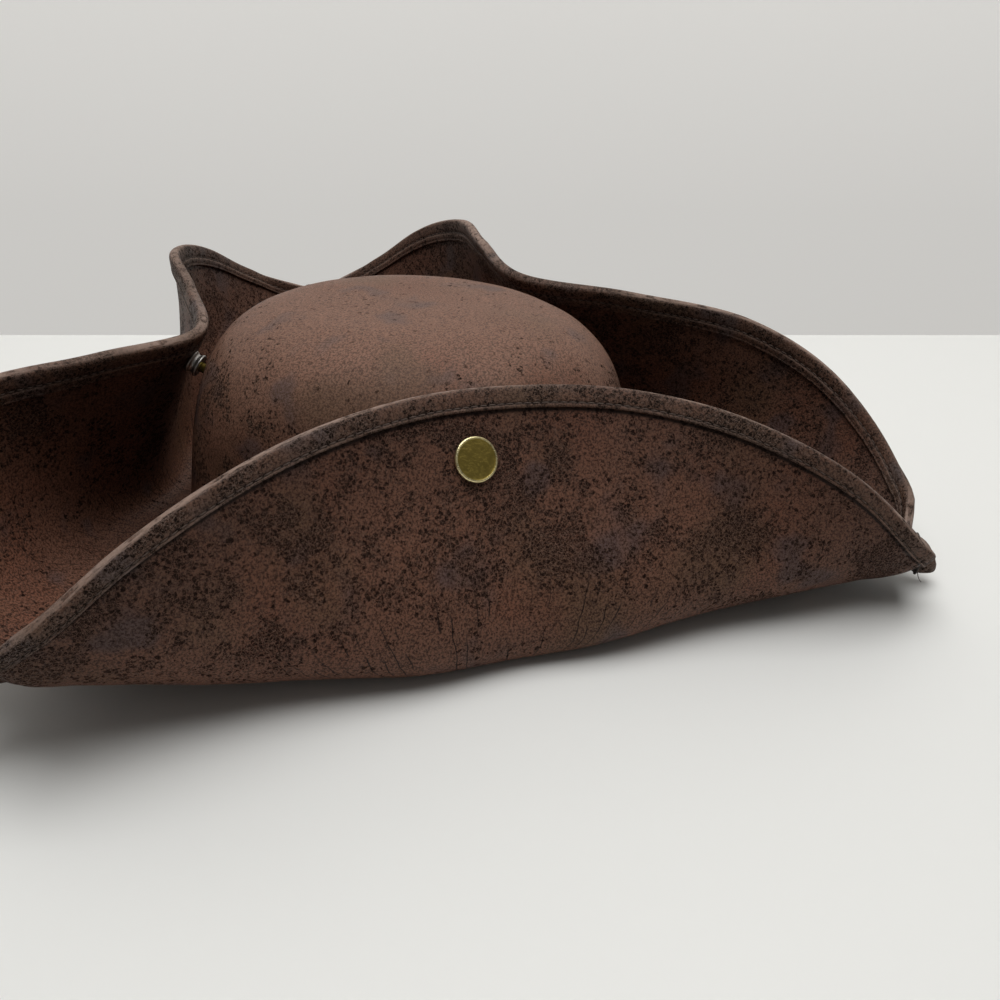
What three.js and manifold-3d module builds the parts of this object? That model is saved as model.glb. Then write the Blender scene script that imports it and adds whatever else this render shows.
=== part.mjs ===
// Tricorn hat in foam-backed faux leather.
// A hollow crown, a round brim turned up into three flaps, a folded edge binding,
// riveted snaps that hold the flaps to the crown and thread round each folded tip.
// Millimetres, +Z up, the wearer faces -Y, resting on the brim at z = 0.

import * as THREE from 'three';
import { mergeVertices } from 'three/addons/utils/BufferGeometryUtils.js';
import Module from 'manifold-3d';

const wasm = await Module();
wasm.setup();

// Driving dimensions
const headLength = 192;
const headWidth = 166;
const crownHeight = 98;
const crownWall = 2.2;
const brimWidth = 118;
const brimWall = 2;
const clearance = 0.3;
const bindingThickness = 0.9;
const bindingOutside = 8;
const bindingInside = 11;
const noseLength = 11;
const stitchBack = 7.4;
const noseHeight = 12;
const noseWidth = 6.8;
const seatWidth = 6;
const capDiameter = 15.4;
const capThickness = 1.6;
const capRoll = 0.5;
const postDiameter = 4;
const washerDiameter = 9;
const washerThickness = 1;
const snapDiameter = 9.5;
const pinDrop = 20;
const standOff = 8;
const threadDiameter = 1.2;
const stitchNarrowing = 0.72;

// Crown form
const flareOut = 2.2;
const flareHeight = 12;
const crownTaper = 0.12;
const crownSquareness = 4.7;

// Brim form: how far each profile runs out along its foot and back down its flap before it bends
// through the fold, in the middle of a flap and at a corner, and how low it keeps on the way out
const bend = { foot: 0.8, knee: 0.72, cornerFoot: 0.92, cornerKnee: 0.96, sharpening: 4, sag: 0.7 };
const tipRisePower = 2.2;

// Corners, anticlockwise seen from above: reach past the crown and rise are shares of the brim width
const corners = [
  { name: 'front', turn: 270, reach: 0.978, rise: 0.05 },
  { name: 'back_left', turn: 32, reach: 0.887, rise: 0.319 },
  { name: 'back_right', turn: 150.5, reach: 0.916, rise: 0.242 },
];

// Flaps, each from one corner to the next: stand is a share of standOff, drop a share of pinDrop,
// and at is the pin's place along the flap, from -1 to 1; the others are shares of the brim width
const flapTable = [
  { name: 'left', stand: 0.93, at: 0, drop: 1, lift: 0.059, lobe: 0.123, lean: 0.089, full: 1.042 },
  { name: 'back', stand: 0.96, at: 0, drop: 0.8, lift: -0.102, lobe: 0.107, lean: 0.13, full: 1.147 },
  { name: 'right', stand: 1.2, at: -0.105, drop: 1.2, lift: 0.06, lobe: -0.185, lean: 0.089, full: 0.943 },
];

// Half a flap from its middle (at 0) to its corner (at 1): how far rim and fold stand out
// from the line between the corners and how far the rim rises, as shares of the brim width,
// then how much of the flap's own pull, lift and lobe acts there
const halfFlap = [
  { at: 0, rimOut: -0.202, rimUp: 0.446, foldOut: 0.231, pull: 1, lobe: 0 },
  { at: 0.25, rimOut: -0.065, rimUp: 0.452, foldOut: 0.277, pull: 0.8, lobe: 0.5 },
  { at: 0.5, rimOut: 0.139, rimUp: 0.418, foldOut: 0.224, pull: 0.4, lobe: 1 },
  { at: 0.75, rimOut: 0.229, rimUp: 0.28, foldOut: 0.173, pull: 0.1, lobe: 0.7 },
  { at: 0.9, rimOut: 0.21, rimUp: 0.118, foldOut: 0.088, pull: 0, lobe: 0.3 },
  { at: 0.96, rimOut: 0.154, rimUp: 0.052, foldOut: 0.063, pull: 0, lobe: 0.1 },
  { at: 1, rimOut: 0, rimUp: 0, foldOut: 0, pull: 0, lobe: 0 },
];

// Mesh fineness
const flapSteps = 28;
const noseSteps = 6;
const crowding = 0.5;
const pinSpan = 0.02;
const pullRounds = 10;
const profileSteps = 40;
const brimRows = 8;
const crownSectors = 56;
const crownRings = 10;
const crownRingPower = 1.6;
const turnedSectors = 18;
const threadSides = 6;
const pinRings = 3;

// Materials
const leather = new THREE.MeshStandardMaterial({ color: 0x4f3a32, roughness: 0.62, metalness: 0 });
const bindingLeather = new THREE.MeshStandardMaterial({ color: 0x46372f, roughness: 0.6, metalness: 0 });
const brass = new THREE.MeshStandardMaterial({ color: 0x8c7a3c, roughness: 0.35, metalness: 1 });
const nickel = new THREE.MeshStandardMaterial({ color: 0xc8c6c0, roughness: 0.3, metalness: 1 });
const thread = new THREE.MeshStandardMaterial({ color: 0x1c1816, roughness: 0.8, metalness: 0 });

const up = new THREE.Vector3(0, 0, 1);
const outerHalfLength = headLength / 2 + crownWall;
const outerHalfWidth = headWidth / 2 + crownWall;
const radians = THREE.MathUtils.degToRad;

const vector = (x, y, z) => new THREE.Vector3(x, y, z);
const mix = (a, b, share) => a.clone().lerp(b, share);
const lengthwise = (a, b, share) => a + (b - a) * share;

// Smooth curve through table rows, level at the first and the last
function alongTable(rows, column, at) {
  const last = rows.length - 1;
  const rise = (k) => (rows[k + 1][column] - rows[k][column]) / (rows[k + 1].at - rows[k].at);
  const slope = (k) => {
    if (k === 0 || k === last) return 0;
    const before = rows[k].at - rows[k - 1].at;
    const after = rows[k + 1].at - rows[k].at;
    return (rise(k - 1) * after + rise(k) * before) / (before + after);
  };
  let k = 0;
  while (k < last - 1 && at > rows[k + 1].at) k += 1;
  const step = rows[k + 1].at - rows[k].at;
  const t = (at - rows[k].at) / step;
  const keep = 2 * t ** 3 - 3 * t ** 2 + 1;
  const value = keep * rows[k][column] + (1 - keep) * rows[k + 1][column];
  const leave = (t ** 3 - 2 * t ** 2 + t) * slope(k);
  const arrive = (t ** 3 - t ** 2) * slope(k + 1);
  return value + step * (leave + arrive);
}

// Closed body from a grid of points that closes on itself both ways; each square is split along
// its falling or its rising diagonal, so that a strip laid on a wall can follow that wall's facets
function ringBody(grid, material, name, rising = false) {
  const rows = grid.length;
  const columns = grid[0].length;
  const positions = grid.flat().flatMap((p) => [p.x, p.y, p.z]);
  const index = [];
  for (let i = 0; i < rows; i += 1) {
    for (let j = 0; j < columns; j += 1) {
      const a = i * columns + j;
      const b = ((i + 1) % rows) * columns + j;
      const c = ((i + 1) % rows) * columns + ((j + 1) % columns);
      const d = i * columns + ((j + 1) % columns);
      index.push(...(rising ? [a, b, d, b, c, d] : [a, b, c, a, c, d]));
    }
  }
  const geometry = new THREE.BufferGeometry();
  geometry.setAttribute('position', new THREE.Float32BufferAttribute(positions, 3));
  geometry.setIndex(index);
  const mesh = new THREE.Mesh(geometry, material);
  mesh.name = name;
  return mesh;
}

// Solid for cutting, from a closed mesh geometry
function solid(geometry) {
  const bare = geometry.clone();
  bare.deleteAttribute('normal');
  bare.deleteAttribute('uv');
  const merged = mergeVertices(bare, 1e-4);
  return new wasm.Manifold(new wasm.Mesh({
    numProp: 3,
    vertProperties: new Float32Array(merged.attributes.position.array),
    triVerts: new Uint32Array(merged.index.array),
  }));
}

// Geometry of a cut solid
function geometryOf(body) {
  const mesh = body.getMesh();
  const geometry = new THREE.BufferGeometry();
  geometry.setAttribute('position', new THREE.Float32BufferAttribute(mesh.vertProperties, 3));
  geometry.setIndex(new THREE.Uint32BufferAttribute(mesh.triVerts, 1));
  geometry.computeVertexNormals();
  return geometry;
}

// Half axes of the crown's oval at a height: a rounded box of revolution, shrunk by inset
function crownOval(z, inset) {
  const level = Math.min(z / (crownHeight - inset), 1);
  const round = (1 - level ** crownSquareness) ** (1 / crownSquareness);
  const spread = round * (1 - crownTaper * level);
  const flare = flareOut * Math.max(0, 1 - z / flareHeight) ** 2;
  return {
    across: spread * (outerHalfWidth - inset - flareOut) + flare,
    along: spread * (outerHalfLength - inset - flareOut) + flare,
  };
}

// Crown surface at a turn round it, at a height or else at an angle up its rounded side
function crownPoint(turn, angle, height, inset) {
  const share = Math.sin(angle) ** (2 / crownSquareness);
  const z = height === null ? share * (crownHeight - inset) : height;
  const oval = crownOval(z, inset);
  return vector(Math.cos(turn) * oval.across, Math.sin(turn) * oval.along, z);
}

// Level distance from a place outside the crown, against an outward direction, to its surface
function gapToCrown(place, out) {
  const oval = crownOval(place.z, 0);
  const from = new THREE.Vector2(place.x / oval.across, place.y / oval.along);
  const step = new THREE.Vector2(out.x / oval.across, out.y / oval.along);
  const inward = from.dot(step);
  return (inward - Math.sqrt(inward ** 2 - step.lengthSq() * (from.lengthSq() - 1))) / step.lengthSq();
}

// Crown shell, from the outside foot over the top and back down the inside
function crownShell() {
  const levels = [];
  for (let k = 0; k < 3; k += 1) levels.push({ height: (flareHeight * k) / 2, angle: 0 });
  for (let k = 2; k < crownRings; k += 1) {
    levels.push({ height: null, angle: (Math.PI / 2) * (k / crownRings) ** crownRingPower });
  }
  const positions = [];
  const index = [];
  const ring = (level, inset) => {
    const start = positions.length / 3;
    for (let s = 0; s < crownSectors; s += 1) {
      const p = crownPoint((2 * Math.PI * s) / crownSectors, level.angle, level.height, inset);
      positions.push(p.x, p.y, p.z);
    }
    return start;
  };
  const bridge = (lower, upper) => {
    for (let s = 0; s < crownSectors; s += 1) {
      const n = (s + 1) % crownSectors;
      index.push(lower + s, lower + n, upper + n, lower + s, upper + n, upper + s);
    }
  };
  const pole = (edge, z, facing) => {
    const top = positions.length / 3;
    positions.push(0, 0, z);
    for (let s = 0; s < crownSectors; s += 1) {
      const n = (s + 1) % crownSectors;
      index.push(...(facing > 0 ? [edge + s, edge + n, top] : [edge + n, edge + s, top]));
    }
  };
  const outer = levels.map((level) => ring(level, 0));
  const inner = levels.map((level) => ring(level, crownWall));
  for (let k = 0; k + 1 < levels.length; k += 1) {
    bridge(outer[k], outer[k + 1]);
    bridge(inner[k + 1], inner[k]);
  }
  pole(outer.at(-1), crownHeight, 1);
  pole(inner.at(-1), crownHeight - crownWall, -1);
  bridge(inner[0], outer[0]);
  const geometry = new THREE.BufferGeometry();
  geometry.setAttribute('position', new THREE.Float32BufferAttribute(positions, 3));
  geometry.setIndex(index);
  return geometry;
}

// Foot of the brim: an oval a clearance outside the crown, grown by extra
function footPoint(turn, extra) {
  const along = outerHalfLength + clearance + extra;
  const across = outerHalfWidth + clearance + extra;
  return vector(Math.cos(turn) * across, Math.sin(turn) * along, 0);
}

// Corner frame: its axis away from the crown, its left side, its tip and its rise
function cornerFrame(corner) {
  const turn = radians(corner.turn);
  const axis = vector(Math.cos(turn), Math.sin(turn), 0);
  const side = vector(-Math.sin(turn), Math.cos(turn), 0);
  const reach = footPoint(turn, 0).length() + corner.reach * brimWidth;
  const rise = corner.rise * brimWidth;
  const stepBack = noseWidth / 2 / footPoint(turn, 0).length();
  return { turn, axis, side, reach, rise, stepBack };
}

const frames = corners.map(cornerFrame);

// Line between the corners of a flap: its middle, half its length, its run and its outward side
function cornerLine(from, to) {
  const half = noseWidth / 2;
  const start = from.axis.clone().multiplyScalar(from.reach - noseLength).addScaledVector(from.side, half);
  const end = to.axis.clone().multiplyScalar(to.reach - noseLength).addScaledVector(to.side, -half);
  const run = end.clone().sub(start).normalize();
  return { middle: mix(start, end, 0.5), reach: start.distanceTo(end) / 2, run, out: vector(run.y, -run.x, 0) };
}

// Foot, fold and rim of the brim at one place of a flap, s from -1 to 1
function flapStation(flap, from, to, s) {
  const { middle, reach, run, out } = cornerLine(from, to);
  const at = Math.abs(s);
  const row = (column) => alongTable(halfFlap, column, at);
  const rimOut = brimWidth * (row('rimOut') + flap.pull * row('pull') + flap.lobe * row('lobe'));
  const rimUp = brimWidth * (row('rimUp') + flap.lift * row('pull'));
  const lean = brimWidth * flap.lean * (1 - s * s);
  const ground = lengthwise(from.rise, to.rise, (1 + s) / 2);
  const rim = middle.clone().addScaledVector(run, s * reach + lean).addScaledVector(out, rimOut);
  rim.z = ground + noseHeight + rimUp;
  const fold = middle.clone().addScaledVector(run, s * reach);
  fold.addScaledVector(out, brimWidth * flap.full * row('foldOut'));
  fold.z = ground * at ** tipRisePower;
  const first = from.turn + from.stepBack;
  let last = to.turn - to.stepBack;
  while (last < first) last += 2 * Math.PI;
  const turn = lengthwise(first, last, (1 + s) / 2);
  return { turn, fold, rim, at };
}

// Foot, fold and rim round the folded nose of a corner, angle from -90 to 90 degrees
function noseStation(frame, angle) {
  const back = frame.reach - noseLength * (1 - Math.cos(angle));
  const place = frame.axis.clone().multiplyScalar(back);
  place.addScaledVector(frame.side, (noseWidth / 2) * Math.sin(angle));
  const fold = place.clone().setZ(frame.rise);
  const rim = place.clone().setZ(frame.rise + noseHeight * Math.sin(angle) ** 2);
  const turn = frame.turn + frame.stepBack * (angle / (Math.PI / 2));
  return { turn, fold, rim, at: 1 };
}

// Stations all the way round the brim, crowded at the corners and in the middle of each flap
function brimStations() {
  const stations = [];
  flaps.forEach((flap, k) => {
    const from = frames[k];
    const to = frames[(k + 1) % frames.length];
    for (let i = 0; i <= flapSteps; i += 1) {
      const x = (2 * i) / flapSteps - 1;
      const s = x - (crowding / (2 * Math.PI)) * Math.sin(2 * Math.PI * x);
      stations.push(flapStation(flap, from, to, s));
    }
    for (let i = 1; i < noseSteps; i += 1) {
      stations.push(noseStation(to, Math.PI * (i / noseSteps - 0.5)));
    }
  });
  return stations;
}

// Middle surface of the brim at one station: across the seat, round the fold and up to the rim
function brimProfile({ turn, fold, rim, at }) {
  const sharp = at ** bend.sharpening;
  const footShare = lengthwise(bend.foot, bend.cornerFoot, sharp);
  const foot = footPoint(turn, 0);
  const seat = footPoint(turn, seatWidth);
  const low = mix(seat, fold, footShare);
  low.z = fold.z * footShare * bend.sag;
  const knee = mix(rim, fold, lengthwise(bend.knee, bend.cornerKnee, sharp));
  const curve = new THREE.CubicBezierCurve3(seat, low, knee, rim);
  const points = [foot, ...curve.getPoints(profileSteps)];
  return points.map((p) => p.setZ(p.z + brimWall / 2));
}

// Outward direction of the middle surface at every grid point, straight down on the flat seat
function surfaceNormals(grid) {
  const count = grid.length;
  return grid.map((profile, i) => profile.map((point, j) => {
    if (j < 2) return up.clone().negate();
    const around = grid[(i + 1) % count][j].clone().sub(grid[(i + count - 1) % count][j]);
    const along = profile[Math.min(j + 1, profile.length - 1)].clone().sub(profile[j - 1]);
    return around.cross(along).normalize();
  }));
}

// Directions evened out round the brim, each with its two neighbours
function evened(normals) {
  const count = normals.length;
  return normals.map((row, i) => row.map((direction, j) => direction.clone().multiplyScalar(2)
    .add(normals[(i + 1) % count][j]).add(normals[(i + count - 1) % count][j]).normalize()));
}

// One brim profile measured from its edge: point and outward direction at a distance back
function measuredProfile(points, normals) {
  const back = points.map(() => 0);
  for (let j = points.length - 2; j >= 0; j -= 1) {
    back[j] = back[j + 1] + points[j].distanceTo(points[j + 1]);
  }
  const length = back[0];
  const place = (distance) => {
    const d = Math.min(Math.max(distance, 0), length);
    let j = points.length - 2;
    while (j > 0 && back[j] < d) j -= 1;
    const share = (back[j] - d) / (back[j] - back[j + 1]);
    return {
      point: mix(points[j], points[j + 1], share),
      normal: mix(normals[j], normals[j + 1], share).normalize(),
    };
  };
  return { length, place, seatAt: back[1] };
}

// Pin of a flap: the point and outward direction of the middle surface, below the rim
function pinSeat(flap, from, to) {
  const grid = [-pinSpan, 0, pinSpan].map((step) => brimProfile(flapStation(flap, from, to, flap.at + step)));
  return measuredProfile(grid[1], surfaceNormals(grid)[1]).place(pinDrop * flap.drop);
}

// Flap with the pull that brings its pin to its stand-off from the crown
function pinnedFlap(flap, from, to) {
  const held = { ...flap, pull: 0 };
  for (let round = 0; round < pullRounds; round += 1) {
    const gap = gapToCrown(pinSeat(held, from, to).point, cornerLine(from, to).out);
    held.pull += (standOff * flap.stand - gap) / brimWidth;
  }
  return held;
}

const flaps = flapTable.map((flap, k) => pinnedFlap(flap, frames[k], frames[(k + 1) % frames.length]));
const middleGrid = brimStations().map(brimProfile);
const middleNormals = evened(surfaceNormals(middleGrid));
const profiles = middleGrid.map((points, i) => measuredProfile(points, middleNormals[i]));
const edgeBack = bindingThickness + clearance;
const edgeRows = [bindingInside, bindingOutside, edgeBack];

// Brim: both faces of the middle surface, half a wall to each side
function brimShell() {
  const grid = profiles.map((profile) => {
    const backs = [profile.length];
    for (let k = 0; k < brimRows; k += 1) {
      backs.push(lengthwise(profile.seatAt, bindingInside, k / brimRows));
    }
    backs.push(...edgeRows);
    const under = backs.map((d) => offset(profile, d, brimWall / 2));
    const top = backs.map((d) => offset(profile, d, -brimWall / 2));
    return [...under, ...top.reverse()];
  });
  return ringBody(grid, leather, 'brim').geometry;
}

// Point at a distance back from the edge and a height off the middle surface, positive outside
function offset(profile, back, height) {
  const { point, normal } = profile.place(back);
  return point.clone().addScaledVector(normal, height);
}

// Edge binding: a folded strip round the edge, longer on the inside of the brim
function bindingStrip() {
  const near = brimWall / 2 + clearance;
  const far = near + bindingThickness;
  const grid = profiles.map((profile) => {
    const outside = [bindingOutside, edgeBack].map((d) => offset(profile, d, far));
    const crest = [brimWall / 2, -brimWall / 2].map((h) => offset(profile, 0, h));
    const inside = [edgeBack, bindingOutside, bindingInside].map((d) => offset(profile, d, -far));
    const behind = [bindingInside, bindingOutside, bindingThickness].map((d) => offset(profile, d, -near));
    const facing = [bindingThickness, bindingOutside].map((d) => offset(profile, d, near));
    return [...outside, ...crest, ...inside, ...behind, ...facing];
  });
  return ringBody(grid, bindingLeather, 'edge_binding', true);
}

// Distances at which rays inward along a pin's axis, spread over a radius, meet a wall's faces
function facesMet(wall, pin, radius) {
  const across = up.clone().cross(pin.normal).normalize();
  const rise = pin.normal.clone().cross(across);
  const inward = pin.normal.clone().negate();
  const rays = [];
  for (let ring = 1; ring <= pinRings; ring += 1) {
    for (let k = 0; k < turnedSectors; k += 1) {
      const turn = (2 * Math.PI * k) / turnedSectors;
      const start = pin.point.clone().addScaledVector(pin.normal, pinDrop);
      start.addScaledVector(across, (radius * ring * Math.cos(turn)) / pinRings);
      start.addScaledVector(rise, (radius * ring * Math.sin(turn)) / pinRings);
      const hits = new THREE.Raycaster(start, inward).intersectObject(wall);
      rays.push(hits.map((hit) => hit.distance - pinDrop));
    }
  }
  return { first: Math.min(...rays.map((r) => r[0])), second: Math.max(...rays.map((r) => r[1])) };
}

// Turned piece from a closed profile of [radius, distance along its axis] rows
function turned(rows, material, name) {
  const outline = rows.map(([radius, along]) => new THREE.Vector2(radius, along));
  const geometry = new THREE.LatheGeometry(outline, turnedSectors);
  const mesh = new THREE.Mesh(geometry, material);
  mesh.name = name;
  return mesh;
}

// Sets a turned piece so that its axis points outward from the crown at the pin
function setOnPin(mesh, pin) {
  mesh.position.copy(pin.point);
  mesh.quaternion.setFromUnitVectors(vector(0, 1, 0), pin.normal);
  mesh.updateMatrixWorld();
  return mesh;
}

const group = new THREE.Group();
const wholeCrown = new THREE.Mesh(crownShell(), new THREE.MeshBasicMaterial({ side: THREE.DoubleSide }));
const wholeBrim = new THREE.Mesh(brimShell(), wholeCrown.material);
const pins = flaps.map((flap, k) => {
  const pin = pinSeat(flap, frames[k], frames[(k + 1) % frames.length]);
  return {
    ...pin,
    name: flap.name,
    capSeat: clearance - facesMet(wholeBrim, pin, capDiameter / 2).first,
    snapSeat: facesMet(wholeBrim, pin, snapDiameter / 2).second + clearance,
    toCrown: facesMet(wholeCrown, pin, snapDiameter / 2).first - clearance,
    toInside: facesMet(wholeCrown, pin, washerDiameter / 2).second + clearance,
  };
});

// Cutter for the hole of a post, from a start to an end along the pin's axis
function postHole(pin, start, end) {
  const radius = postDiameter / 2 + clearance;
  const hole = new THREE.Mesh(new THREE.CylinderGeometry(radius, radius, end - start, turnedSectors));
  hole.geometry.translate(0, -(start + end) / 2, 0);
  setOnPin(hole, pin);
  return solid(hole.geometry.clone().applyMatrix4(hole.matrixWorld));
}

// Crown and brim with the post holes cut
let crownBody = solid(wholeCrown.geometry);
let brimBody = solid(wholeBrim.geometry);
pins.forEach((pin) => {
  brimBody = brimBody.subtract(postHole(pin, -2 * brimWall, 2 * brimWall));
  crownBody = crownBody.subtract(postHole(pin, pin.toCrown - crownWall, pin.toInside + crownWall));
});
const crown = new THREE.Mesh(geometryOf(crownBody), leather);
crown.name = 'crown';
const brim = new THREE.Mesh(geometryOf(brimBody), leather);
brim.name = 'brim';
group.add(crown, brim, bindingStrip());

// Rivet: domed cap outside the flap, post through flap and crown, washer inside the crown
function rivet(pin) {
  const radius = capDiameter / 2;
  const post = postDiameter / 2;
  const washer = washerDiameter / 2;
  const seat = pin.capSeat;
  const top = seat + capThickness;
  const stop = -pin.toInside;
  const rows = [
    [0, stop - washerThickness],
    [washer, stop - washerThickness],
    [washer, stop],
    [post, stop],
    [post, seat],
    [radius - capRoll, seat],
    [radius, seat + capRoll],
    [radius, top - capRoll],
    [radius - capRoll, top],
    [0, top],
  ];
  return setOnPin(turned(rows, brass, `rivet_${pin.name}`), pin);
}

// Snap ring round the post, between the flap and the crown
function snap(pin) {
  const bore = postDiameter / 2 + clearance;
  const near = -pin.snapSeat;
  const far = -pin.toCrown;
  const rows = [[bore, far], [snapDiameter / 2, far], [snapDiameter / 2, near], [bore, near], [bore, far]];
  return setOnPin(turned(rows, nickel, `snap_${pin.name}`), pin);
}

pins.forEach((pin) => group.add(rivet(pin), snap(pin)));

// Thread wrapped round a folded corner: one closed loop across the corner's axis
function tipStitch(corner, frame, k) {
  const radius = threadDiameter / 2;
  const nose = ((k + 2) % corners.length) * (flapSteps + noseSteps) + flapSteps + noseSteps / 2;
  const crease = profiles[nose].place(stitchBack + radius);
  const beside = noseWidth / 2 + brimWall / 2 + bindingThickness + 4 * clearance + radius;
  const skin = (brimWall / 2 + bindingThickness + 2 * clearance) / Math.abs(crease.normal.z);
  const under = crease.point.z - skin - radius;
  const over = frame.rise + brimWall / 2 + noseHeight + 2 * clearance + radius;
  const bottomSide = beside * stitchNarrowing;
  const outline = [[bottomSide, under], [beside, over], [-beside, over], [-bottomSide, under]];
  const place = ([side, z]) => frame.axis.clone().multiplyScalar(frame.reach - stitchBack)
    .addScaledVector(frame.side, side).setZ(z);
  const path = roundedLoop(outline.map(place), 2 * threadDiameter, 4);
  const grid = path.map((p, i) => {
    const along = path[(i + 1) % path.length].clone().sub(path[(i + path.length - 1) % path.length]);
    const outwards = along.cross(frame.axis).normalize();
    const section = [];
    for (let k = 0; k < threadSides; k += 1) {
      const turn = (2 * Math.PI * k) / threadSides;
      const rim = p.clone().addScaledVector(outwards, radius * Math.cos(turn));
      section.push(rim.addScaledVector(frame.axis, radius * Math.sin(turn)));
    }
    return section;
  });
  return ringBody(grid, thread, `tip_stitch_${corner.name}`);
}

// Closed loop through corners, each rounded by a short curve that starts a set distance before it
function roundedLoop(points, cut, steps) {
  const count = points.length;
  return points.flatMap((p, i) => {
    const before = points[(i + count - 1) % count].clone().sub(p).normalize().multiplyScalar(cut).add(p);
    const after = points[(i + 1) % count].clone().sub(p).normalize().multiplyScalar(cut).add(p);
    return new THREE.QuadraticBezierCurve3(before, p, after).getPoints(steps - 1);
  });
}

corners.forEach((corner, k) => group.add(tipStitch(corner, frames[k], k)));

// The whole hat stands with the middle of its outline over the origin
const outlineMiddle = new THREE.Box3().setFromObject(group, true).getCenter(vector(0, 0, 0));
group.position.set(-outlineMiddle.x, -outlineMiddle.y, 0);

export default group;
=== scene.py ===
# Tricorn hat in distressed faux leather, dressed for a render.
# Shapes are worked out in millimetres in the crown's own frame, then placed in the row frame in metres.

import math

import bpy
import numpy as np
from mathutils import Matrix, Vector, noise


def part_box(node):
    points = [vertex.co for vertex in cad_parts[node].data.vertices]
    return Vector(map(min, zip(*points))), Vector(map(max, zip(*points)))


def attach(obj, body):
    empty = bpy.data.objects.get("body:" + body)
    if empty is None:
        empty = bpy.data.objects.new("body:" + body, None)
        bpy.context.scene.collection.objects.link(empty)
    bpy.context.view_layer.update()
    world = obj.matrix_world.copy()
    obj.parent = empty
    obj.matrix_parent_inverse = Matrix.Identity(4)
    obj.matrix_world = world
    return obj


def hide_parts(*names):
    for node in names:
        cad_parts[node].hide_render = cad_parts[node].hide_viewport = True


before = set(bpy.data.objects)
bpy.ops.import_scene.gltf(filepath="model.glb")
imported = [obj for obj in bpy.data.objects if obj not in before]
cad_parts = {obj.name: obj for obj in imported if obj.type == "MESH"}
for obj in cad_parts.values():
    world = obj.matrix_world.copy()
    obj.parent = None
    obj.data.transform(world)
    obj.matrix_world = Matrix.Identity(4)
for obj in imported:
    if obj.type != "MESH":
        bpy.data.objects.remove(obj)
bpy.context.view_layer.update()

MM = 0.001
SCENE = bpy.context.scene

# Driving dimensions, millimetres
HEAD_LENGTH = 192
HEAD_WIDTH = 166
CROWN_HEIGHT = 98
CROWN_WALL = 2.2
BRIM_WIDTH = 118
BRIM_WALL = 2
CLEARANCE = 0.3
BINDING_THICKNESS = 0.9
BINDING_OUTSIDE = 8
BINDING_INSIDE = 11
NOSE_LENGTH = 11
STITCH_BACK = 7.4
NOSE_HEIGHT = 12
NOSE_WIDTH = 6.8
SEAT_WIDTH = 6
CAP_DIAMETER = 15.4
CAP_THICKNESS = 1.6
POST_DIAMETER = 4
WASHER_DIAMETER = 9
WASHER_THICKNESS = 1
SNAP_DIAMETER = 9.5
PIN_DROP = 20
STAND_OFF = 8

# Crown form
FLARE_OUT = 2.2
FLARE_HEIGHT = 12
CROWN_TAPER = 0.12
CROWN_SQUARENESS = 4.7

# Brim form
BEND = {"foot": 0.8, "knee": 0.72, "corner_foot": 0.92, "corner_knee": 0.96, "sharpening": 4, "sag": 0.7}
TIP_RISE_POWER = 2.2
NOSE_SQUARENESS = 0.42
NOSE_SOFTNESS = 0.03

# Corners, anticlockwise seen from above: turn in degrees, reach and rise as shares of the brim width
CORNERS = [
    {"name": "front", "turn": 270, "reach": 0.978, "rise": 0.05},
    {"name": "back_left", "turn": 32, "reach": 0.887, "rise": 0.319},
    {"name": "back_right", "turn": 150.5, "reach": 0.916, "rise": 0.242},
]

# Flaps, each from one corner to the next: stand is a share of STAND_OFF, drop of PIN_DROP,
# at is the pin's place along the flap, from -1 to 1, and the others are shares of the brim width
FLAPS = [
    {"name": "left", "stand": 0.93, "at": 0, "drop": 1,
     "lift": 0.059, "lobe": 0.123, "lean": 0.089, "full": 1.042},
    {"name": "back", "stand": 0.96, "at": 0, "drop": 0.8,
     "lift": -0.102, "lobe": 0.107, "lean": 0.13, "full": 1.147},
    {"name": "right", "stand": 1.2, "at": -0.105, "drop": 1.2,
     "lift": 0.06, "lobe": -0.185, "lean": 0.089, "full": 0.943},
]

# Half a flap from its middle (at 0) to its corner (at 1), shares of the brim width
HALF_FLAP = {
    "at": [0, 0.25, 0.5, 0.75, 0.9, 0.96, 1],
    "rim_out": [-0.202, -0.065, 0.139, 0.229, 0.21, 0.154, 0],
    "rim_up": [0.446, 0.452, 0.418, 0.28, 0.118, 0.052, 0],
    "fold_out": [0.231, 0.277, 0.224, 0.173, 0.088, 0.063, 0],
    "pull": [1, 0.8, 0.4, 0.1, 0, 0, 0],
    "lobe": [0, 0.5, 1, 0.7, 0.3, 0.1, 0],
}

# Fineness of the meshes
FLAP_STEPS = 150
NOSE_STEPS = 16
PROFILE_STEPS = 60
BRIM_ROWS = 64
CROWN_SECTORS = 180
CROWN_RINGS = 70
CROWN_FOOT_RINGS = 8
CROWN_RING_CROWDING = 1.6
TURNED_SECTORS = 72
ROUNDING_STEPS = 6
EVENING_ROUNDS = 6
PULL_ROUNDS = 10
PIN_SPAN = 0.02

OUTER_HALF_LENGTH = HEAD_LENGTH / 2 + CROWN_WALL
OUTER_HALF_WIDTH = HEAD_WIDTH / 2 + CROWN_WALL

# Faces of the binding's legs, from the brim's middle surface
BINDING_NEAR = BRIM_WALL / 2 + CLEARANCE
BINDING_FAR = BINDING_NEAR + BINDING_THICKNESS


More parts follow.
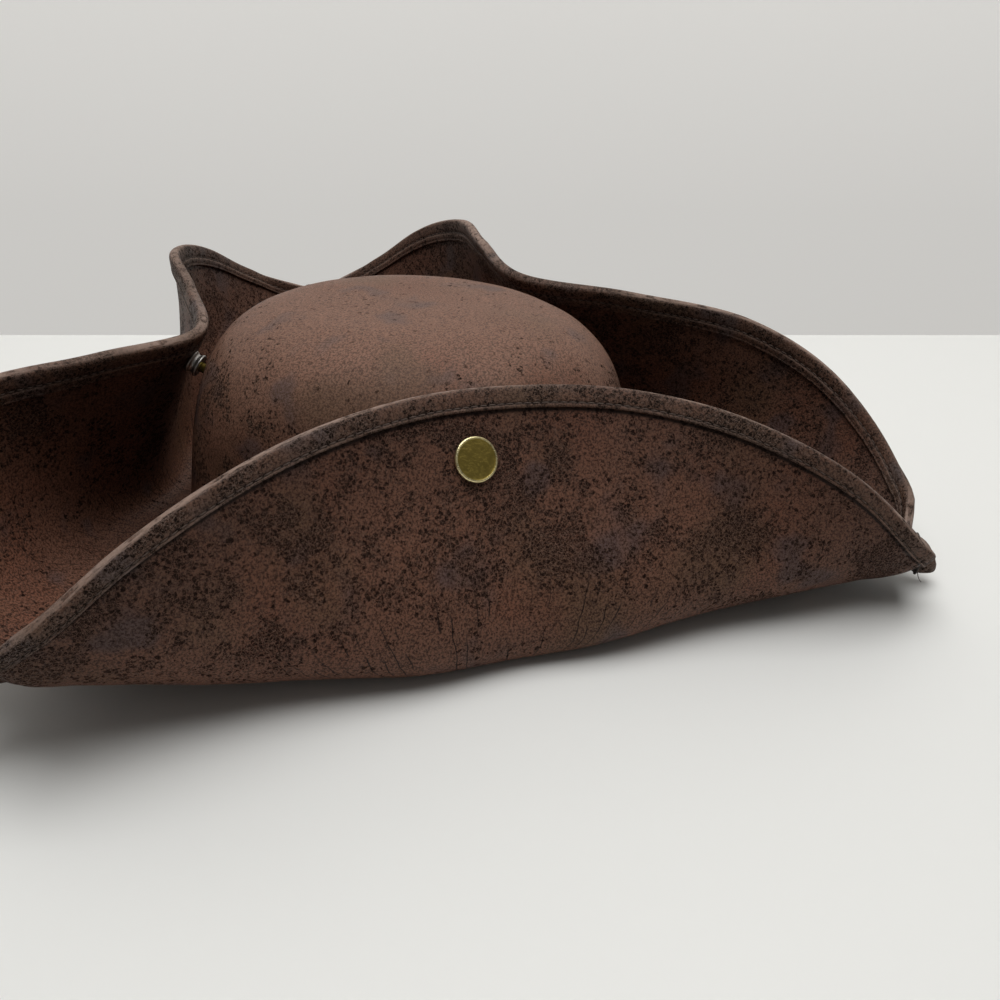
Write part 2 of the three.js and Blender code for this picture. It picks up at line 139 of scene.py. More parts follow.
def along_table(column, at):
    """Smooth curve through the table's rows, level at the first and the last."""
    places = np.array(HALF_FLAP["at"], float)
    values = np.array(HALF_FLAP[column], float)
    steps = np.diff(places)
    rises = np.diff(values) / steps
    slopes = np.zeros_like(values)
    slopes[1:-1] = (rises[:-1] * steps[1:] + rises[1:] * steps[:-1]) / (steps[:-1] + steps[1:])
    k = np.clip(np.searchsorted(places, at, side="left") - 1, 0, len(steps) - 1)
    t = (at - places[k]) / steps[k]
    keep = 2 * t**3 - 3 * t**2 + 1
    bend = (t**3 - 2 * t**2 + t) * slopes[k] + (t**3 - t**2) * slopes[k + 1]
    return keep * values[k] + (1 - keep) * values[k + 1] + steps[k] * bend


def unit(vectors):
    """Vectors of length one."""
    return vectors / np.linalg.norm(vectors, axis=-1, keepdims=True)


def crown_oval(z, inset):
    """Half axes of the crown's oval at a height, shrunk by inset."""
    level = np.clip(z / (CROWN_HEIGHT - inset), 0, 1)
    spread = (1 - level**CROWN_SQUARENESS) ** (1 / CROWN_SQUARENESS) * (1 - CROWN_TAPER * level)
    flare = FLARE_OUT * np.maximum(0, 1 - z / FLARE_HEIGHT) ** 2
    across = spread * (OUTER_HALF_WIDTH - inset - FLARE_OUT) + flare
    along = spread * (OUTER_HALF_LENGTH - inset - FLARE_OUT) + flare
    return across, along


def foot_point(turn, extra=0.0):
    """Foot of the brim: an oval a clearance outside the crown, grown by extra."""
    turn = np.asarray(turn, float)
    across = OUTER_HALF_WIDTH + CLEARANCE + extra
    along = OUTER_HALF_LENGTH + CLEARANCE + extra
    return np.stack([np.cos(turn) * across, np.sin(turn) * along, np.zeros_like(turn)], -1)


def corner_frame(corner):
    """A corner's axis away from the crown, its left side, its tip's reach and its rise."""
    turn = math.radians(corner["turn"])
    radius = float(np.linalg.norm(foot_point(turn)))
    return {
        "name": corner["name"],
        "turn": turn,
        "axis": np.array([math.cos(turn), math.sin(turn), 0]),
        "side": np.array([-math.sin(turn), math.cos(turn), 0]),
        "reach": radius + corner["reach"] * BRIM_WIDTH,
        "rise": corner["rise"] * BRIM_WIDTH,
        "step_back": NOSE_WIDTH / 2 / radius,
    }


FRAMES = [corner_frame(corner) for corner in CORNERS]


def corner_line(k):
    """Middle, half length, run and outward side of the line between the corners of flap k."""
    start_frame = FRAMES[k]
    end_frame = FRAMES[(k + 1) % len(FRAMES)]
    half = NOSE_WIDTH / 2
    start = start_frame["axis"] * (start_frame["reach"] - NOSE_LENGTH) + start_frame["side"] * half
    end = end_frame["axis"] * (end_frame["reach"] - NOSE_LENGTH) - end_frame["side"] * half
    run = unit(end - start)
    return (start + end) / 2, np.linalg.norm(end - start) / 2, run, np.array([run[1], -run[0], 0])


def flap_stations(flap, k, s):
    """Turn, fold, rim and corner share of the brim at places s, from -1 to 1, of flap k."""
    start_frame = FRAMES[k]
    end_frame = FRAMES[(k + 1) % len(FRAMES)]
    middle, reach, run, out = corner_line(k)
    at = np.abs(s)
    rim_out = along_table("rim_out", at) + flap["pull"] * along_table("pull", at)
    rim_out = BRIM_WIDTH * (rim_out + flap["lobe"] * along_table("lobe", at))
    rim_up = BRIM_WIDTH * (along_table("rim_up", at) + flap["lift"] * along_table("pull", at))
    ground = start_frame["rise"] + (end_frame["rise"] - start_frame["rise"]) * (1 + s) / 2
    sway = BRIM_WIDTH * flap["lean"] * (1 - s * s)
    rim = middle + np.outer(s * reach + sway, run) + np.outer(rim_out, out)
    rim[:, 2] = ground + NOSE_HEIGHT + rim_up
    fold = middle + np.outer(s * reach, run)
    fold += np.outer(BRIM_WIDTH * flap["full"] * along_table("fold_out", at), out)
    fold[:, 2] = ground * at**TIP_RISE_POWER
    first = start_frame["turn"] + start_frame["step_back"]
    last = end_frame["turn"] - end_frame["step_back"]
    while last < first:
        last += 2 * math.pi
    return first + (last - first) * (1 + s) / 2, fold, rim, at


def nose_height_share(share):
    """Height of the edge round a nose: nearly full until close to its end."""
    start = NOSE_SOFTNESS**NOSE_SQUARENESS
    end = (1 + NOSE_SOFTNESS) ** NOSE_SQUARENESS
    return ((share + NOSE_SOFTNESS) ** NOSE_SQUARENESS - start) / (end - start)


def nose_stations(k, angles):
    """Turn, fold, rim and corner share round the folded nose of corner k."""
    corner = FRAMES[k]
    back = corner["reach"] - NOSE_LENGTH * (1 - np.cos(angles))
    place = np.outer(back, corner["axis"]) + np.outer(NOSE_WIDTH / 2 * np.sin(angles), corner["side"])
    fold = place.copy()
    fold[:, 2] = corner["rise"]
    rim = place.copy()
    rim[:, 2] = corner["rise"] + NOSE_HEIGHT * nose_height_share(np.sin(angles) ** 2)
    return corner["turn"] + corner["step_back"] * angles / (math.pi / 2), fold, rim, np.ones_like(angles)


def brim_profiles(turn, fold, rim, at):
    """Middle surface of the brim at the stations: across the seat, round the fold and up to the rim."""
    sharp = (at ** BEND["sharpening"])[:, None]
    foot_share = BEND["foot"] + (BEND["corner_foot"] - BEND["foot"]) * sharp
    knee_share = BEND["knee"] + (BEND["corner_knee"] - BEND["knee"]) * sharp
    seat = foot_point(turn, SEAT_WIDTH)
    low = seat + (fold - seat) * foot_share
    low[:, 2] = fold[:, 2] * foot_share[:, 0] * BEND["sag"]
    knee = rim + (fold - rim) * knee_share
    t = np.linspace(0, 1, PROFILE_STEPS + 1)[None, :, None]
    curve = (1 - t) ** 3 * seat[:, None] + 3 * (1 - t) ** 2 * t * low[:, None]
    curve = curve + 3 * (1 - t) * t**2 * knee[:, None] + t**3 * rim[:, None]
    grid = np.concatenate([foot_point(turn)[:, None], curve], axis=1)
    grid[..., 2] += BRIM_WALL / 2
    return grid


def surface_normals(grid):
    """Outward direction of the middle surface at every grid point, straight down on the flat seat."""
    around = np.roll(grid, -1, 0) - np.roll(grid, 1, 0)
    along = np.empty_like(grid)
    along[:, 1:-1] = grid[:, 2:] - grid[:, :-2]
    along[:, -1] = grid[:, -1] - grid[:, -2]
    along[:, 0] = grid[:, 1] - grid[:, 0]
    normals = unit(np.cross(around, along))
    normals[:, :2] = (0, 0, -1)
    return normals


def evened(normals, rounds):
    """Directions evened out round the brim, again and again, each with its two neighbours."""
    for _ in range(rounds):
        normals = unit(2 * normals + np.roll(normals, 1, 0) + np.roll(normals, -1, 0))
    return normals


class Profiles:
    """Brim profiles measured from their edge: points and outward directions at distances back."""

    def __init__(self, grid, normals):
        self.grid = grid
        self.normals = normals
        lengths = np.linalg.norm(np.diff(grid, axis=1), axis=2)
        self.back = np.concatenate([np.cumsum(lengths[:, ::-1], 1)[:, ::-1], np.zeros((len(grid), 1))], 1)
        self.length = self.back[:, 0]
        self.seat_at = self.back[:, 1]

    def place(self, distance):
        """Point and direction of every profile at its own distance back from the edge."""
        d = np.clip(np.broadcast_to(distance, self.length.shape), 0, self.length)
        rows = np.arange(len(d))
        k = np.clip((self.back > d[:, None]).sum(1) - 1, 0, self.grid.shape[1] - 2)
        near = self.back[rows, k]
        far = self.back[rows, k + 1]
        share = ((near - d) / np.maximum(near - far, 1e-9))[:, None]
        point = self.grid[rows, k] * (1 - share) + self.grid[rows, k + 1] * share
        normal = self.normals[rows, k] * (1 - share) + self.normals[rows, k + 1] * share
        return point, unit(normal)

    def offset(self, distance, height):
        """Points at a distance back from the edge and a height off the middle surface, positive outside."""
        point, normal = self.place(distance)
        return point + normal * np.broadcast_to(height, self.length.shape)[:, None]


def pin_seat(flap, k):
    """Pin of a flap: the point and outward direction of the middle surface, below the rim."""
    grid = brim_profiles(*flap_stations(flap, k, flap["at"] + np.array([-PIN_SPAN, 0, PIN_SPAN])))
    point, normal = Profiles(grid, surface_normals(grid)).place(PIN_DROP * flap["drop"])
    return point[1], normal[1]


def gap_to_crown(place, out):
    """Level distance from a place outside the crown, against an outward direction, to its surface."""
    oval = np.array(crown_oval(place[2], 0))
    start = place[:2] / oval
    step = out[:2] / oval
    inward = start @ step
    return (inward - math.sqrt(inward**2 - step @ step * (start @ start - 1))) / (step @ step)


def pinned_flap(flap, k):
    """Flap with the pull that brings its pin to its stand-off from the crown."""
    held = dict(flap, pull=0.0)
    out = corner_line(k)[3]
    for _ in range(PULL_ROUNDS):
        gap = gap_to_crown(pin_seat(held, k)[0], out)
        held["pull"] += (STAND_OFF * flap["stand"] - gap) / BRIM_WIDTH
    return held


def brim_surface():
    """Profiles of the whole brim, with the flap or corner that each station belongs to."""
    parts = []
    for k, flap in enumerate(FLAPS):
        s = np.linspace(-1, 1, FLAP_STEPS + 1)
        parts.append(flap_stations(pinned_flap(flap, k), k, s))
        angles = np.pi * (np.arange(1, NOSE_STEPS) / NOSE_STEPS - 0.5)
        parts.append(nose_stations((k + 1) % len(FRAMES), angles))
    grid = brim_profiles(*[np.concatenate(column) for column in zip(*parts)])
    return Profiles(grid, evened(surface_normals(grid), EVENING_ROUNDS))


# The crown's centre in the row frame: the middle of its packed box
crown_low, crown_high = (Vector(c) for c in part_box("crown"))
CROWN_CENTRE = np.array([(crown_low.x + crown_high.x) / 2, (crown_low.y + crown_high.y) / 2, 0]) / MM
PROFILES = brim_surface()
PINS = [pin_seat(pinned_flap(flap, k), k) for k, flap in enumerate(FLAPS)]


# Meshes

def placed(points):
    """Points in the row frame, metres."""
    return (np.asarray(points, float) + CROWN_CENTRE) * MM


def new_object(name, points, faces):
    """Object in the scene from points in metres and faces."""
    mesh = bpy.data.meshes.new(name)
    mesh.from_pydata(points, [], faces)
    mesh.update()
    piece = bpy.data.objects.new(name, mesh)
    SCENE.collection.objects.link(piece)
    return piece


def mesh_object(name, points, faces):
    """Smooth object from points in millimetres and faces."""
    piece = new_object(name, placed(points).tolist(), [tuple(int(i) for i in f) for f in faces])
    piece.data.polygons.foreach_set("use_smooth", [True] * len(faces))
    return piece


def grid_faces(rows, columns, closed=True):
    """Quads of a grid of closed rows, where the last row meets the first if closed."""
    i = np.arange(rows if closed else rows - 1)[:, None]
    j = np.arange(columns)[None, :]
    low = i * columns
    high = (i + 1) % rows * columns
    beside = (j + 1) % columns
    return np.stack([low + j, high + j, high + beside, low + beside], -1).reshape(-1, 4)


def keep_vector(piece, name, vectors):
    """Keeps a vector in millimetres at every point, for the materials."""
    store = piece.data.attributes.new(name, "FLOAT_VECTOR", "POINT")
    store.data.foreach_set("vector", (np.asarray(vectors, float) * MM).ravel())


def loop_and_run(points):
    """Points with the first one again at the end, and the distances along them."""
    loop = np.concatenate([points, points[:1]])
    return loop, np.concatenate([[0], np.cumsum(np.linalg.norm(np.diff(loop, axis=0), axis=1))])


def along_loop(at, run, loop):
    """Places on a closed loop at distances along it."""
    return np.stack([np.interp(at, run, loop[:, c]) for c in range(loop.shape[1])], -1)


# Way round the brim at every station, along the middle of the profiles
RUN = loop_and_run(PROFILES.grid[:, PROFILES.grid.shape[1] // 2])[1]
ROUND = RUN[:-1]


def round_layout(back):
    """Layout without a seam: the way round is wound up on a circle of the same length."""
    angle = 2 * np.pi * np.repeat(ROUND[:, None], back.shape[1], 1) / RUN[-1]
    radius = RUN[-1] / (2 * np.pi)
    return np.stack([radius * np.cos(angle), radius * np.sin(angle), back], -1).reshape(-1, 3)


# Creases lie closer together towards the fold, each flap's far from the next flap's in the layout
CREASE_GATHER = 1 / 170
CREASE_FADE = 1.6
FLAP_APART = 1000.0


def crease_layout(back):
    """Layout of the creases: along the flap from its middle, back from the edge, and strength."""
    steps = np.linspace(-1, 1, FLAP_STEPS + 1)
    along = []
    strength = []
    for k in range(len(FLAPS)):
        along += [steps * corner_line(k)[1] + FLAP_APART * k, np.full(NOSE_STEPS - 1, FLAP_APART * k)]
        strength += [np.clip(CREASE_FADE * (1 - np.abs(steps)), 0, 1), np.zeros(NOSE_STEPS - 1)]
    along = np.concatenate(along)[:, None]
    strength = np.broadcast_to(np.concatenate(strength)[:, None] / MM, back.shape)
    centre = FLAP_APART * np.round(along / FLAP_APART)
    gathered = centre + (along - centre) * (1 + CREASE_GATHER * back)
    return np.stack([gathered, back, strength], -1).reshape(-1, 3)


# Dents of bent leather: depth, size and seed of each kind, millimetres
BRIM_DENTS = [(0.55, 34, 1), (0.22, 13, 2)]
CROWN_DENTS = [(0.7, 45, 5), (0.25, 15, 6)]
SEED_SHIFT = (17.3, 5.1, 11.7)
FREE_FROM_SEAT = 20
FREE_FROM_BINDING = 12
FREE_FROM_FLARE = 15
CROWN_SUNK = 0.5
CROWN_POLE_RISE = 0.02
CROWN_TOP_SHARE = 0.6


def dents(points, size, seed):
    """Smooth random heights, about -1 to 1, of one size of dent."""
    shift = Vector([seed * step for step in SEED_SHIFT])
    heights = [noise.noise(Vector(p) / size + shift) for p in points.reshape(-1, 3)]
    return np.array(heights).reshape(points.shape[:-1])


def make_brim():
    """Both faces of the brim, gently dented as bent foam-backed leather is."""
    first = BINDING_THICKNESS + CLEARANCE
    shares = np.linspace(0, 1, BRIM_ROWS)
    backs = [PROFILES.length] + [PROFILES.seat_at * (1 - t) + first * t for t in shares]
    middle = np.stack([PROFILES.offset(d, 0) for d in backs], 1)
    free = [np.clip((PROFILES.seat_at - d) / FREE_FROM_SEAT, 0, 1)
            * np.clip((d - BINDING_INSIDE) / FREE_FROM_BINDING, 0, 1) for d in backs]
    swell = sum(depth * dents(middle, size, seed) for depth, size, seed in BRIM_DENTS) * np.stack(free, 1)
    under = np.stack([PROFILES.offset(d, BRIM_WALL / 2 + swell[:, j]) for j, d in enumerate(backs)], 1)
    top = np.stack([PROFILES.offset(d, -BRIM_WALL / 2 + swell[:, j]) for j, d in enumerate(backs)], 1)
    under[..., 2] = np.maximum(under[..., 2], 0)
    # The sewn foot lies against the crown
    for face in (under, top):
        face[:, 0, :2] -= CLEARANCE * unit(face[:, 0, :2])
    grid = np.concatenate([under, top[:, ::-1]], 1)
    piece = mesh_object("brim_leather", grid.reshape(-1, 3), grid_faces(*grid.shape[:2]))
    back = np.stack(backs, 1)
    back = np.concatenate([back, back[:, ::-1]], 1)
    keep_vector(piece, "lay", round_layout(back))
    keep_vector(piece, "crease", crease_layout(back))
    return piece


def make_crown():
    """Crown shell: outside from its foot over the top, then down the inside."""
    turn = np.linspace(0, 2 * np.pi, CROWN_SECTORS, endpoint=False)
    angle = np.pi / 2 * np.linspace(0, 1, CROWN_RINGS + 1)[:-1] ** CROWN_RING_CROWDING
    share = np.sin(angle) ** (2 / CROWN_SQUARENESS)
    foot = np.linspace(0, FLARE_HEIGHT, CROWN_FOOT_RINGS + 1)[:-1]
    rings = []
    for inset in (0, CROWN_WALL):
        height = CROWN_HEIGHT - inset
        levels = np.concatenate([foot, height * share[height * share > FLARE_HEIGHT]])
        across, along = crown_oval(levels, inset)
        ring = np.stack([np.outer(across, np.cos(turn)), np.outer(along, np.sin(turn)),
                         np.repeat(levels[:, None], CROWN_SECTORS, 1)], -1)
        swell = sum(depth * dents(ring, size, seed) for depth, size, seed in CROWN_DENTS)
        outward = unit(ring * (1 / OUTER_HALF_WIDTH, 1 / OUTER_HALF_LENGTH, CROWN_TOP_SHARE / CROWN_HEIGHT))
        free = np.clip((levels - FLARE_HEIGHT) / FREE_FROM_FLARE, 0, 1)[:, None]
        rings.append(ring + outward * (swell * free - CROWN_SUNK * free)[..., None])
    outer, inner = rings
    points = list(outer.reshape(-1, 3)) + list(inner.reshape(-1, 3))
    inner_start = len(outer) * CROWN_SECTORS
    sector = np.arange(CROWN_SECTORS)
    beside = (sector + 1) % CROWN_SECTORS
    outside = grid_faces(len(outer), CROWN_SECTORS, closed=False)[:, [0, 3, 2, 1]]
    inside = grid_faces(len(inner), CROWN_SECTORS, closed=False)[:, [1, 2, 3, 0]] + inner_start
    foot_edge = np.stack([inner_start + sector, inner_start + beside, beside, sector], -1)
    faces = list(outside) + list(inside) + list(foot_edge)
    for start, shell in ((0, outer), (inner_start, inner)):
        last = start + (len(shell) - 1) * CROWN_SECTORS
        top = np.full(CROWN_SECTORS, len(points))
        points.append(np.array([0, 0, shell[-1, :, 2].mean() + CROWN_POLE_RISE]))
        cap = np.stack([last + sector, last + beside, top], -1)
        faces += list(cap if start == 0 else cap[:, [1, 0, 2]])
    piece = mesh_object("crown_leather", np.array(points), faces)
    backed = np.zeros(len(faces), int)
    backed[len(outside):len(outside) + len(inside)] = 1
    backed[-CROWN_SECTORS:] = 1
    piece.data.materials.append(CROWN_LEATHER)
    piece.data.materials.append(BACKING)
    piece.data.polygons.foreach_set("material_index", backed.tolist())
    return piece


# Outside of the binding: distance back from the edge and height over the strip's flat face
OUTSIDE_RELIEF = [(8.0, -0.55), (7.9, -0.1), (7.5, 0.12), (7.1, 0.1), (6.75, -0.1), (6.5, -0.38), (6.2, -0.1),
                  (5.6, 0.12), (4.4, 0.22), (3.0, 0.24), (2.0, 0.2)]
INSIDE_RELIEF = [(2.0, 0.2), (3.2, 0.22), (4.6, 0.16), (5.9, 0.05), (6.4, -0.3), (6.9, 0.05), (8.0, 0.1),
                 (9.2, 0.06), (9.7, -0.25), (10.2, 0.02), (10.8, -0.05), (11.0, -0.5)]
CREST_ANGLES = np.radians(np.linspace(76, -76, 9))
CREST_FLATNESS = 0.72
CREST_SWELL = 0.05
CREST_ROUGHNESS = 0.05
GROOVE_BACK = 6.5
PUCKER_PITCH = 4.2
PUCKER_HEIGHT = 0.07
PUCKER_REACH = 1.4
PUCKER_WANDER = 0.8
LEG_ROUGHNESS = 0.08
LEG_END_BEVEL = 0.1


def make_binding():
    """Folded strip round the edge: stitched grooves on both legs and a rubbed, rounded crest."""
    edge = PROFILES.offset(0, 0)
    wave = 0.5 + 0.5 * np.sin(2 * np.pi * ROUND / PUCKER_PITCH + PUCKER_WANDER * dents(edge, 9, 8))
    rough = dents(edge, 6, 9)

    def pucker(back):
        nearness = math.exp(-((back - GROOVE_BACK) / PUCKER_REACH) ** 2)
        return PUCKER_HEIGHT * wave * nearness + LEG_ROUGHNESS * rough

    inner_leg = (BINDING_INSIDE - LEG_END_BEVEL, BINDING_OUTSIDE, BINDING_THICKNESS)
    outer_leg = (BINDING_THICKNESS, BINDING_OUTSIDE - LEG_END_BEVEL)
    rows = [(back, BINDING_FAR + height + pucker(back)) for back, height in OUTSIDE_RELIEF]
    for angle in CREST_ANGLES:
        height = (BINDING_FAR + CREST_SWELL) * math.sin(angle) + CREST_ROUGHNESS * rough
        rows.append((BINDING_FAR * (1 - math.cos(angle)) * CREST_FLATNESS, height))
    rows += [(back, -BINDING_FAR - height - pucker(back)) for back, height in INSIDE_RELIEF]
    rows += [(back, -BINDING_NEAR) for back in inner_leg]
    rows += [(back, BINDING_NEAR) for back in outer_leg]
    grid = np.stack([PROFILES.offset(back, height) for back, height in rows], 1)
    piece = mesh_object("binding_leather", grid.reshape(-1, 3), grid_faces(*grid.shape[:2]))
    keep_vector(piece, "lay", round_layout(np.broadcast_to([back for back, _ in rows], grid.shape[:2])))
    return piece


def tube(path, radius, sides, closed=True):
    """Points and faces of a tube along a path, with a radius for each of its points."""
    count = len(path)
    radius = np.broadcast_to(radius, count)
    if closed:
        along = unit(np.roll(path, -1, 0) - np.roll(path, 1, 0))
    else:
        along = unit(np.gradient(path, axis=0))
    across = np.zeros_like(path)
    helper = np.array([0.31, 0.52, 0.79])
    across[0] = unit(np.cross(along[0], helper))
    for i in range(1, count):
        across[i] = unit(across[i - 1] - along[i] * (across[i - 1] @ along[i]))
    third = np.cross(along, across)
    turn = 2 * np.pi * np.arange(sides) / sides
    rings = path[:, None] + radius[:, None, None] * (
        np.cos(turn)[:, None] * across[:, None] + np.sin(turn)[:, None] * third[:, None])
    points = rings.reshape(-1, 3)
    faces = list(grid_faces(count, sides, closed)[:, ::-1])
    if not closed:
        faces.append(tuple(range(sides)))
        faces.append(tuple(range(len(points) - 1, len(points) - sides - 1, -1)))
    return points, faces


def joined(name, parts):
    """One mesh object from several lots of points and faces."""
    points = []
    faces = []
    for part_points, part_faces in parts:
        start = len(points)
        points.extend(part_points)
        faces.extend([tuple(i + start for i in face) for face in part_faces])
    return mesh_object(name, np.array(points), faces)


STITCH_PITCH = 3.2
STITCH_LENGTH = 2.5
STITCH_RADIUS = 0.24
STITCH_POINTS = 6
STITCH_SIDES = 5
STITCH_LOW = 0.2
STITCH_HIGH = 0.25
STITCH_SUNK = 0.35
STITCH_END_WIDTH = 0.55
STITCH_SWELL = 0.45


def make_binding_stitches():
    """Short thread stitches along the groove of both legs of the binding."""
    t = np.linspace(0, 1, STITCH_POINTS)
    arch = np.sin(np.pi * t)[:, None]
    radius = STITCH_RADIUS * (STITCH_END_WIDTH + STITCH_SWELL * arch[:, 0])
    parts = []
    for side in (1, -1):
        line = PROFILES.offset(GROOVE_BACK, side * (BINDING_FAR - STITCH_LOW))
        lift = PROFILES.offset(GROOVE_BACK, side * (BINDING_FAR + STITCH_HIGH)) - line
        loop, run = loop_and_run(line)
        rise = np.concatenate([lift, lift[:1]])
        count = int(run[-1] / STITCH_PITCH)
        for n in range(count):
            at = run[-1] * n / count + STITCH_LENGTH * t
            path = along_loop(at, run, loop) + along_loop(at, run, rise) * (arch - STITCH_SUNK)
            parts.append(tube(path, radius, STITCH_SIDES, closed=False))
    return joined("binding_stitches", parts)


# Turned pieces on the pins

def turned(rows, pin, name, closed=False):
    """Object turned round a pin from rows of radius and distance along the pin's direction."""
    point, normal = pin
    across = unit(np.cross((0, 0, 1), normal))
    rise = np.cross(normal, across)
    turn = 2 * np.pi * np.arange(TURNED_SECTORS) / TURNED_SECTORS
    spoke = np.cos(turn)[:, None] * across + np.sin(turn)[:, None] * rise
    points = []
    faces = []
    starts = []
    for radius, along in rows:
        starts.append(len(points))
        if radius == 0:
            points.append(point + normal * along)
        else:
            points.extend(point + spoke * radius + normal * along)
    for low in range(len(rows) if closed else len(rows) - 1):
        high = (low + 1) % len(rows)
        for s in range(TURNED_SECTORS):
            n = (s + 1) % TURNED_SECTORS
            a, b = starts[low] + s, starts[low] + n
            c, d = starts[high] + n, starts[high] + s
            if rows[low][0] == 0:
                faces.append((starts[low], c, d))
            elif rows[high][0] == 0:
                faces.append((a, b, starts[high]))
            else:
                faces.append((a, b, c, d))
    return mesh_object(name, np.array(points), faces)


def rounded(radius, along, corner, first, last):
    """Rows of a round edge from one angle to another about its centre."""
    rows = []
    for k in range(ROUNDING_STEPS + 1):
        angle = first + (last - first) * k / ROUNDING_STEPS
        rows.append((radius + corner * math.cos(angle), along + corner * math.sin(angle)))
    return rows


def packed_reach(node_name, pin):
    """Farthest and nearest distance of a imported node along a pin's outward direction."""
    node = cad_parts[node_name]
    point = Vector(placed(pin[0]))
    normal = Vector(pin[1])
    along = [(node.matrix_world @ v.co - point).dot(normal) / MM for v in node.data.vertices]
    return max(along), min(along)


CAP_ROLL = 0.55
CAP_UNDERCUT = 0.8
FACE_SUNK = 0.2
FACE_CROWN = 0.1
WASHER_BEVEL = 0.1


def make_rivet(flap, pin):
    """Cap with a rolled rim round a slightly sunk face, post, and a washer inside the crown."""
    top, bottom = packed_reach("rivet_" + flap["name"], pin)
    seat = top - CAP_THICKNESS
    face = top - FACE_SUNK
    radius = CAP_DIAMETER / 2
    roll = radius - CAP_ROLL
    washer = WASHER_DIAMETER / 2
    post = POST_DIAMETER / 2
    stop = bottom + WASHER_THICKNESS
    rows = [(0, bottom + 0.25), (washer * 0.5, bottom + 0.2), (washer - 0.4, bottom)]
    rows += [(washer - WASHER_BEVEL, bottom + 0.12), (washer, bottom + 0.45), (washer, stop - WASHER_BEVEL)]
    rows += [(washer - WASHER_BEVEL, stop), (post, stop), (post, seat), (radius - CAP_UNDERCUT, seat)]
    rows += rounded(roll, seat + CAP_ROLL, CAP_ROLL, -math.pi / 2, 0)
    rim_start = len(rows) - 3
    rows += rounded(roll, top - CAP_ROLL, CAP_ROLL, 0, math.pi / 2)
    rows += [(roll - 0.25, top - 0.05)]
    rim_end = len(rows) - 1
    rows += [(roll - 0.45, top - 0.16), (roll - 0.75, face)]
    rows += [(radius * share, face + FACE_CROWN * (1 - share)) for share in (0.75, 0.5, 0.25)]
    rows += [(0, face + FACE_CROWN)]
    piece = turned(rows, pin, "rivet_cap_" + flap["name"])
    piece.data.materials.append(BRASS)
    piece.data.materials.append(BRASS_RIM)
    bands = np.repeat(np.arange(len(rows) - 1), TURNED_SECTORS)
    rim = (bands >= rim_start) & (bands < rim_end)
    piece.data.polygons.foreach_set("material_index", rim.astype(int).tolist())
    return piece


SNAP_BEAD = 0.7


def make_snap(flap, pin):
    """Snap ring with a rounded bead at each end and a waist between them."""
    near, far = packed_reach("snap_" + flap["name"], pin)
    radius = SNAP_DIAMETER / 2
    bore = POST_DIAMETER / 2 + CLEARANCE
    bead = min(SNAP_BEAD, (near - far) / 4)
    rows = [(bore, far)]
    rows += rounded(radius - bead, far + bead, bead, -math.pi / 2, math.pi / 3)
    rows += [(radius - 1.5 * bead, (near + far) / 2)]
    rows += rounded(radius - bead, near - bead, bead, -math.pi / 3, math.pi / 2)
    rows += [(bore, near)]
    return turned(rows, pin, "snap_ring_" + flap["name"], closed=True)


# Thread round the tips

def even_path(path, step):
    """Closed path with its points an even step apart."""
    loop, run = loop_and_run(path)
    return along_loop(np.linspace(0, run[-1], int(run[-1] / step), endpoint=False), run, loop)


def tight_outline(points):
    """Convex outline round flat points, anticlockwise."""
    ordered = sorted(map(tuple, points))
    halves = []
    for side in (ordered, ordered[::-1]):
        half = []
        for p in side:
            while len(half) > 1 and ((half[-1][0] - half[-2][0]) * (p[1] - half[-2][1])
                                     <= (half[-1][1] - half[-2][1]) * (p[0] - half[-2][0])):
                half.pop()
            half.append(p)
        halves += half[:-1]
    return np.array(halves)


SECTION_STATIONS = 60
SECTION_DEPTH = 32
SECTION_STEP = 0.25
SECTION_NEAR = 0.4
SECTION_HALF_WIDTH = NOSE_WIDTH / 2 + BRIM_WALL + 2 * BINDING_THICKNESS


def tip_section(k, back):
    """Sideways and upright places of the bound tip's skin in the plane at a distance back from its end."""
    corner = FRAMES[k]
    nose = (k + 2) % len(FRAMES) * (FLAP_STEPS + NOSE_STEPS) + FLAP_STEPS + NOSE_STEPS // 2
    stations = (nose + np.arange(-SECTION_STATIONS, SECTION_STATIONS + 1)) % len(PROFILES.length)
    spots = []
    for distance in np.arange(0, SECTION_DEPTH, SECTION_STEP):
        reach = BINDING_FAR if distance < BINDING_OUTSIDE else BRIM_WALL / 2
        for height in (reach, -reach):
            spots.append(PROFILES.offset(distance, height)[stations])
    spots = np.concatenate(spots)
    spots = spots[np.abs(spots @ corner["axis"] - (corner["reach"] - back)) < SECTION_NEAR]
    spots = spots[np.abs(spots @ corner["side"]) < SECTION_HALF_WIDTH]
    return np.stack([spots @ corner["side"], spots[:, 2]], -1)


# Turns of the thread round a tip: place behind the middle of the stitch, and lean
WRAPS = ((-0.45, 0.35), (0.45, -0.25))
WRAP_STEP = 0.4
WRAP_OFF_SKIN = 0.42
WRAP_EVENING_ROUNDS = 3
TWIST_PITCH = 2.4
STRAND_OFF_MIDDLE = 0.22
STRAND_RADIUS = 0.28
STRAND_SIDES = 7
END_FORWARD = 1.5
END_ASIDE = 1.5
END_HIDDEN = 0.5
END_DROP = 3.2
END_AHEAD = 1.7
END_SWEEP = 1.4
END_RADIUS = 0.14
END_POINTS = 12
END_SIDES = 5
UPWARD = np.array([0, 0, 1])


